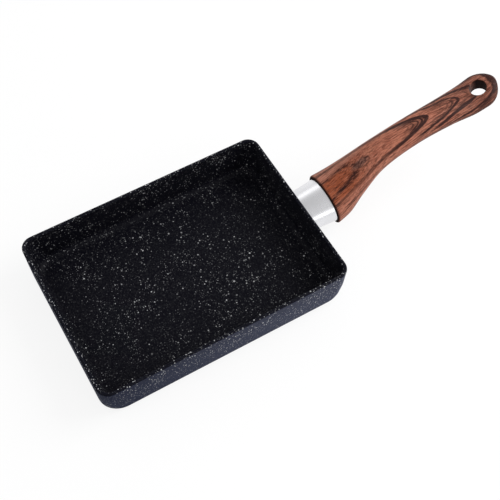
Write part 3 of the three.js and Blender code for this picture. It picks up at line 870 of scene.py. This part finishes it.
def draw_out(name, rings, profile=0.5):
    """A solid drawn out through rings along X."""
    first = rings[0]
    centre = (first.along, 0, first.rise)
    piece = begin(name, bpy.ops.mesh.primitive_plane_add, size=2, rotation=FACE_X, location=centre)
    bpy.ops.mesh.select_all(action="SELECT")
    round_corners(1, GRIP_CORNER_STEPS, profile)
    bpy.ops.transform.resize(value=(1, first.half_width, first.half_height), center_override=centre)
    bpy.ops.mesh.select_mode(type="FACE")
    for before, after in zip(rings, rings[1:]):
        extend(before, after)
    close_up(piece)
    return piece


def hole_cutter(handle, curve):
    """A round bar through the tail that flares at both mouths of the hanging hole."""
    radius = handle.hole_diameter / 2
    half = curve.last.half_height - handle.hole_sink
    flare = [(half - inset, radius + run) for run, inset in quarter_round(handle.hole_mouth)]
    flare.append((HOLE_OVERSHOOT * half, flare[-1][1]))
    profile = [(-along, wide) for along, wide in reversed(flare)] + flare
    cutter = draw_out("cutter", [Section(along, 0, wide, wide) for along, wide in profile])
    centre = Matrix.Translation((curve.last.along, 0, curve.last.rise))
    cutter.matrix_world = centre @ Matrix.Rotation(-math.pi / 2 - curve.hole_tilt(), 4, "Y")
    bpy.ops.object.transform_apply()
    return cutter


def mark_rod(piece, handle, curve, place):
    """Stores where each point would lie on a straight round rod, for the print, and which points take the
    bare plastic's colour: bare plastic on the collar's face and in the well, and painted shade on the tail
    side of the hanging hole.
    """
    to_handle = place.inverted()
    to_hole = Matrix.Rotation(curve.hole_tilt(), 3, "Y")
    centre = Vector((curve.last.along, 0, curve.last.rise))
    tip = curve.last.along + TAIL_TIP * curve.tail_round
    rod, bare = [], []
    for vertex in piece.data.vertices:
        point = to_handle @ vertex.co
        ring = curve.section(min(max(point.x, 0), tip))
        across = point.y / ring.half_width
        up = (point.z - ring.rise) / ring.half_height
        whole = ring.half_width + ring.half_height
        turn = math.atan2(across, up)
        turn += 0.5 * (ring.half_width - ring.half_height) / whole * math.sin(2 * turn)
        girth = 0.5 * whole * math.hypot(across, up)
        rod += (point.x, girth * math.sin(turn), girth * math.cos(turn))

        offset = (to_hole @ (point - centre)).xy
        # Painted shade in the hanging hole: its wall takes the dark plastic colour on the tail side only, and
        # stays printed on the tray side
        in_hole = 1 - clamp((offset.length - handle.hole_diameter / 2 - BARE_START) / BARE_FADE)
        shaded_side = clamp(0.55 + 2.4 * offset.x / handle.hole_diameter)
        in_front = 1 - clamp(point.x / BARE_FRONT)
        from_well = math.hypot(point.y, point.z) - handle.counterbore / 2
        in_well = (1 - clamp((from_well - BARE_START) / BARE_FADE)) * (point.x > 0)
        bare.append(max(in_hole * shaded_side, in_front, in_well))
    piece.data.attributes.new("rod", "FLOAT_VECTOR", "POINT").data.foreach_set("vector", rod)
    piece.data.attributes.new("bare", "FLOAT", "POINT").data.foreach_set("value", bare)


# Operators

class PAN_OT_tray(bpy.types.Operator):
    """Models the tray from round-cornered outlines that are bridged and filleted"""

    bl_idname = "pan.tray"
    bl_label = "Tray"

    LOW = 0.2  # shares of the height, where the corners have sizes of their own
    MIDDLE = 0.5

    def execute(self, context):
        tray = context.scene.pan_tray
        piece = begin_empty("coated_tray")
        outlines = self.outlines(tray)
        for label, sizes in outlines.items():
            outline(piece, label, *sizes)
        bpy.ops.mesh.select_all(action="SELECT")
        bpy.ops.mesh.delete(type="ONLY_FACE")

        loops = list(outlines)
        for first, second in zip(loops, loops[1:]):
            recall(first, second)
            bpy.ops.mesh.bridge_edge_loops()
        for end in (loops[0], loops[-1]):
            recall(end)
            bpy.ops.mesh.edge_face_add()
        lip = tray.wall / 2 - WELD
        round_edges(piece, base=tray.base_edge, floor=tray.floor_edge, rim=lip, inner_rim=lip)
        smooth(piece)
        mark_outside(piece, tray)
        hand_over(piece, speckled_coat(context.scene.pan_colours, tray), "coated_aluminium", "pan_body")
        return {"FINISHED"}

    def outlines(self, tray):
        """Length, width, corner radius and height of each loop, from the recess round to the floor."""
        gap = tray.clearance
        recess = (tray.plate_length + 2 * gap, tray.plate_width + 2 * gap, tray.plate_corner + gap)
        base = (*self.level(tray, 0), tray.base_corner)
        rim = (*self.level(tray, 1), tray.rim_corner)
        return {
            "recess_top": (*recess, tray.plate_thickness + gap),
            "recess_mouth": (*recess, WELD),
            "base": (*base, 0),
            "low": (*self.level(tray, self.LOW), tray.low_corner, self.LOW * tray.height),
            "middle": (*self.level(tray, self.MIDDLE), tray.middle_corner, self.MIDDLE * tray.height),
            "rim": (*rim, tray.height),
            "inner_rim": (*self.inside(tray, *rim), tray.height - WELD),
            "floor": (*self.inside(tray, *base), tray.floor),
        }

    @staticmethod
    def level(tray, up):
        """Outside length and width at a share of the height."""
        inset = 2 * tray.draft * (1 - up)
        return tray.length - inset, tray.width - inset

    @staticmethod
    def inside(tray, length, width, corner):
        """An outline moved in by the wall."""
        return length - 2 * tray.wall, width - 2 * tray.wall, corner - tray.wall


class PAN_OT_base_plate(bpy.types.Operator):
    """Models the perforated steel plate in the base"""

    bl_idname = "pan.base_plate"
    bl_label = "Base plate"

    def execute(self, context):
        tray = context.scene.pan_tray
        piece = begin_empty("perforated_base_plate")
        outline(piece, "edge", tray.plate_length, tray.plate_width, tray.plate_corner, 0)
        bpy.ops.mesh.extrude_region_move(TRANSFORM_OT_translate={"value": (0, 0, tray.plate_thickness)})
        close_up(piece)

        cutter = begin_empty("cutter")
        hole = {"vertices": HOLE_STEPS, "radius": tray.hole_diameter / 2, "depth": 4 * tray.plate_thickness}
        for x in self.places(tray, tray.plate_length):
            for y in self.places(tray, tray.plate_width):
                bpy.ops.mesh.primitive_cylinder_add(location=(x, y, 0), **hole)
        bpy.ops.object.mode_set(mode="OBJECT")
        cut(piece, cutter)
        modify(piece, "BEVEL", width=tray.plate_edge, segments=PLATE_EDGE_STEPS, limit_method="ANGLE")
        smooth(piece)
        hand_over(piece, brushed_plate(context.scene.pan_colours), "base_steel", "induction_base_plate")
        return {"FINISHED"}

    @staticmethod
    def places(tray, length):
        """Hole centres on both sides of the middle."""
        count = int((length / 2 - tray.hole_margin) / tray.hole_pitch + 0.5)
        return [side * tray.hole_pitch * (step + 0.5) for step in range(count) for side in (-1, 1)]


class PAN_OT_ferrule(bpy.types.Operator):
    """Models the oval sleeve between the tray and the grip"""

    bl_idname = "pan.ferrule"
    bl_label = "Ferrule"

    def execute(self, context):
        tray, handle = context.scene.pan_tray, context.scene.pan_handle
        start = handle.clearance - handle.ferrule_length
        end = -handle.clearance
        wall = handle.ferrule_wall
        loops = [
            Section(start, 0, *handle.ferrule_root),
            Section(end, 0, *handle.ferrule_end),
            Section(end, 0, *(half - wall for half in handle.ferrule_end)),
            Section(start, 0, *(half - wall for half in handle.ferrule_root)),
        ]
        centre = (start, 0, 0)
        circle = {"vertices": OVAL_STEPS, "radius": 1, "rotation": FACE_X, "location": centre}
        piece = begin("satin_ferrule", bpy.ops.mesh.primitive_circle_add, **circle)
        bpy.ops.transform.resize(value=(1, *handle.ferrule_root), center_override=centre)
        remember(piece, "0")
        for at in range(1, len(loops)):
            extend(loops[at - 1], loops[at])
            bpy.ops.object.vertex_group_remove_from(use_all_groups=True)
            remember(piece, str(at))
        recall("0", "3")
        bpy.ops.mesh.bridge_edge_loops()
        self.lean_on_wall(piece, tray, handle, start)
        round_edges(piece, **{str(at): handle.ferrule_edge for at in range(len(loops))})
        smooth(piece)
        put_on_handle(piece, handle_place(tray, handle))
        hand_over(piece, satin_metal(context.scene.pan_colours, handle), "ferrule_metal", "ferrule")
        return {"FINISHED"}

    @staticmethod
    def lean_on_wall(piece, tray, handle, start):
        """Turns the root of the sleeve to the slope of the wall."""
        slope = handle.tilt + math.atan(tray.draft / (tray.height - tray.wall / 2))
        recall("0", "3")
        shape = bmesh.from_edit_mesh(piece.data)
        for vertex in shape.verts:
            if vertex.select:
                vertex.co.x = start + vertex.co.z * math.tan(slope)
        bmesh.update_edit_mesh(piece.data)


class PAN_OT_grip(bpy.types.Operator):
    """Models the moulded grip as a face drawn out through its sections, then drilled"""

    bl_idname = "pan.grip"
    bl_label = "Grip"

    def execute(self, context):
        tray, handle = context.scene.pan_tray, context.scene.pan_handle
        curve = GripCurve(handle)
        piece = draw_out("wood_look_grip", grip_rings(handle, curve), SECTION_PROFILE)
        cut(piece, rod_cutter(handle.screw_bore, -2 * handle.spigot, 2 * handle.screw_seat))
        cut(piece, rod_cutter(handle.counterbore, handle.screw_seat, curve.last.along))
        cut(piece, hole_cutter(handle, curve))
        modify(piece, "REMESH", mode="VOXEL", voxel_size=handle.voxel)
        modify(piece, "SMOOTH", factor=SMOOTHING, iterations=SMOOTHING_ROUNDS)
        place = handle_place(tray, handle)
        put_on_handle(piece, place)
        bpy.ops.object.shade_smooth()
        mark_rod(piece, handle, curve, place)
        hand_over(piece, wood_print(context.scene.pan_colours), "grip_print", "handle_grip")
        return {"FINISHED"}


class PAN_OT_fastenings(bpy.types.Operator):
    """Finishes the lug, the studs, the screw and their washers and nuts, which keep their own shapes"""

    bl_idname = "pan.fastenings"
    bl_label = "Fastenings"

    def execute(self, context):
        colours = context.scene.pan_colours
        finishes = {"fastener_steel": plated_steel(colours), "lug_casting": cast_metal(colours)}
        for part in frame["record"]["subparts"]:
            finish = finishes.get(part["material_slot"])
            if finish:
                node = frame["nodes"][part["node"]]
                node.data.materials.clear()
                node.data.materials.append(finish)
        return {"FINISHED"}


class PAN_OT_stage(bpy.types.Operator):
    """Sets the floor, the light and the camera"""

    bl_idname = "pan.stage"
    bl_label = "Stage"

    FLOOR_WIDTH = 8
    FLOOR_DROP = 0.05 * MM
    FLOOR_GRAIN = 1 / 30
    GRAIN_TONE = (0.8, 0.8, 0.8)
    WHITE = (1, 1, 1)
    CARD_EDGE = (-0.16, 0.1)  # where the card ends and the plain floor starts, along X
    SKY_FADE = (0.1, 0.9)  # between which heights of a line of sight the surroundings dim
    LAMPS = {  # the width of each light and where it hangs
        "key": (0.8, (1.0, -0.25, 0.9)),
        "side": (0.22, (0.19, -0.715, 0.58)),
        "back": (0.24, (0.235, 0.7, 0.57)),
    }
    NEAREST = 10 * MM

    def execute(self, context):
        scene = context.scene
        stage = scene.pan_stage
        self.floor(stage)
        scene.world = self.surroundings(stage)
        for name, (width, place) in self.LAMPS.items():
            self.lamp(name + "_light", getattr(stage, name + "_power"), width, place)
        self.camera(scene, stage)
        scene.view_settings.view_transform = "Standard"
        return {"FINISHED"}

    def floor(self, stage):
        """A pale floor that shows white, and at its left a grey card that only the pan sees."""
        at = (0, 0, -self.FLOOR_DROP)
        floor = begin("floor", bpy.ops.mesh.primitive_plane_add, size=self.FLOOR_WIDTH, location=at)
        bpy.ops.object.mode_set(mode="OBJECT")
        finish = new_finish("pale_floor")
        ray = finish.add("ShaderNodeLightPath", out="Is Camera Ray")
        lit = ray.at_least(finish.split(finish.place()).between(*self.CARD_EDGE))
        grain = finish.noise(finish.place(), self.FLOOR_GRAIN)
        shade = finish.mix(grain * 0.02, stage.floor_colour, self.GRAIN_TONE)
        plain = finish.add("ShaderNodeBsdfDiffuse", {"Color": finish.mix(lit, stage.card, shade)})
        white = finish.mix(lit, stage.card, self.WHITE)
        glow = finish.add("ShaderNodeEmission", {"Color": white, "Strength": 1})
        seen = ray.at_least(ray.out("Is Glossy Ray")).at_least(ray.out("Is Transmission Ray"))
        mixed = finish.add("ShaderNodeMixShader", {0: seen * stage.floor_glow, 1: plain, 2: glow})
        finish.add("ShaderNodeOutputMaterial", {"Surface": mixed})
        floor.data.materials.append(finish.owner)

    def surroundings(self, stage):
        """Soft light from all round, brightest at the horizon."""
        finish = Finish(bpy.data.worlds.new("soft_studio"))
        height = finish.split(finish.add("ShaderNodeTexCoord", out="Generated")).out("Z")
        fade = {"Value": height, "To Min": stage.sky_low, "To Max": stage.sky_high}
        fade["From Min"], fade["From Max"] = self.SKY_FADE
        sky = finish.add("ShaderNodeBackground", {"Color": finish.add("ShaderNodeMapRange", fade)})
        finish.add("ShaderNodeOutputWorld", {"Surface": sky})
        return finish.owner

    @staticmethod
    def lamp(name, power, width, place):
        """A square soft light that faces the pan."""
        data = bpy.data.lights.new(name, "AREA")
        data.energy = power
        data.size = width
        lamp = bpy.data.objects.new(name, data)
        lamp.location = place
        lamp.rotation_euler = (-Vector(place)).to_track_quat("-Z", "Y").to_euler()
        bpy.context.collection.objects.link(lamp)

    def camera(self, scene, stage):
        """A camera that is aimed by its angles."""
        data = bpy.data.cameras.new("camera")
        data.lens = stage.lens
        data.clip_start = self.NEAREST
        camera = bpy.data.objects.new("camera", data)
        aim = Matrix.Rotation(stage.azimuth, 3, "Z") @ Matrix.Rotation(math.pi / 2 - stage.elevation, 3, "X")
        camera.location = stage.camera_place
        camera.rotation_euler = (aim @ Matrix.Rotation(stage.roll, 3, "Z")).to_euler()
        scene.collection.objects.link(camera)
        scene.camera = camera


class VIEW3D_PT_omelette_pan(bpy.types.Panel):
    """Lists the pan's sizes, its finishes and the steps that make it"""

    bl_label = "Omelette Pan"
    bl_space_type = "VIEW_3D"
    bl_region_type = "UI"
    bl_category = "Omelette Pan"

    def draw(self, context):
        layout = self.layout
        for settings in SETTINGS:
            group = getattr(context.scene, settings)
            box = layout.box()
            box.label(text=type(group).__doc__)
            for name in group.__annotations__:
                box.prop(group, name)
        for step in STEPS:
            layout.operator(step.bl_idname)


SETTINGS = {
    "pan_tray": TraySizes,
    "pan_handle": HandleSizes,
    "pan_colours": FinishColours,
    "pan_stage": StageSettings,
}
STEPS = (PAN_OT_tray, PAN_OT_base_plate, PAN_OT_ferrule, PAN_OT_grip, PAN_OT_fastenings, PAN_OT_stage)
CLASSES = (*SETTINGS.values(), *STEPS, VIEW3D_PT_omelette_pan)


def register():
    for item in CLASSES:
        bpy.utils.register_class(item)
    for name, group in SETTINGS.items():
        setattr(bpy.types.Scene, name, PointerProperty(type=group))


def unregister():
    for name in SETTINGS:
        delattr(bpy.types.Scene, name)
    for item in reversed(CLASSES):
        bpy.utils.unregister_class(item)


def main():
    register()
    bpy.ops.pan.tray()
    bpy.ops.pan.base_plate()
    bpy.ops.pan.ferrule()
    bpy.ops.pan.grip()
    bpy.ops.pan.fastenings()
    bpy.ops.pan.stage()


if __name__ == "__main__":
    main()
